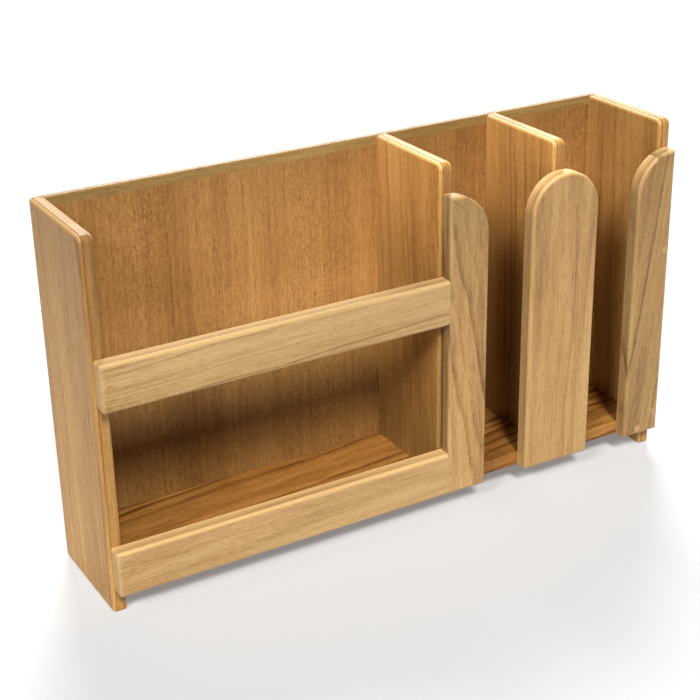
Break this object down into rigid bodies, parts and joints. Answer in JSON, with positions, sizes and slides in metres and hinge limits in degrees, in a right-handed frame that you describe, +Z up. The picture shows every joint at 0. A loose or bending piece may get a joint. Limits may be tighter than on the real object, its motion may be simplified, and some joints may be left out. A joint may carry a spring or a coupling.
{
  "type": "magazine rack",
  "caption": "Wooden rack with one wide magazine bay behind two rails and two narrow bays behind round-topped slats.",
  "frame": {"origin": "on the floor, under the middle of the rack's box", "axes": "+Z up, -Y is the front with the rails and slats, +X to the right as seen from the front"},
  "size_m": [0.535, 0.114, 0.31],
  "materials": {
    "teak_ends": "oiled teak, vertical grain, satin",
    "teak_dividers": "oiled teak, vertical grain, satin",
    "teak_shelf": "oiled teak with dark figure, satin",
    "teak_veneer": "teak veneered ply, fine vertical grain, satin",
    "teak_lipping": "oiled teak, horizontal grain, satin",
    "teak_rails": "oiled teak, horizontal grain, satin",
    "teak_slats": "oiled teak, vertical grain, satin",
    "teak_plugs": "teak plugs, trimmed flush, satin",
    "dowels": "plain beech dowel",
    "brass_screws": "plain brass",
    "steel_pins": "plain steel"
  },
  "bodies": {
    "root": {"left_end": "teak_ends", "right_end": "teak_ends", "left_divider": "teak_dividers", "right_divider": "teak_dividers", "bottom_shelf": "teak_shelf", "back_panel": "teak_veneer", "back_lipping": "teak_lipping", "upper_rail": "teak_rails", "lower_rail": "teak_rails", "left_slat": "teak_slats", "middle_slat": "teak_slats", "right_slat": "teak_slats", "front_plugs": "teak_plugs", "front_screws": "brass_screws", "rail_dowels": "dowels", "shelf_screws": "brass_screws", "back_pins": "steel_pins"}
  },
  "joints": []
}
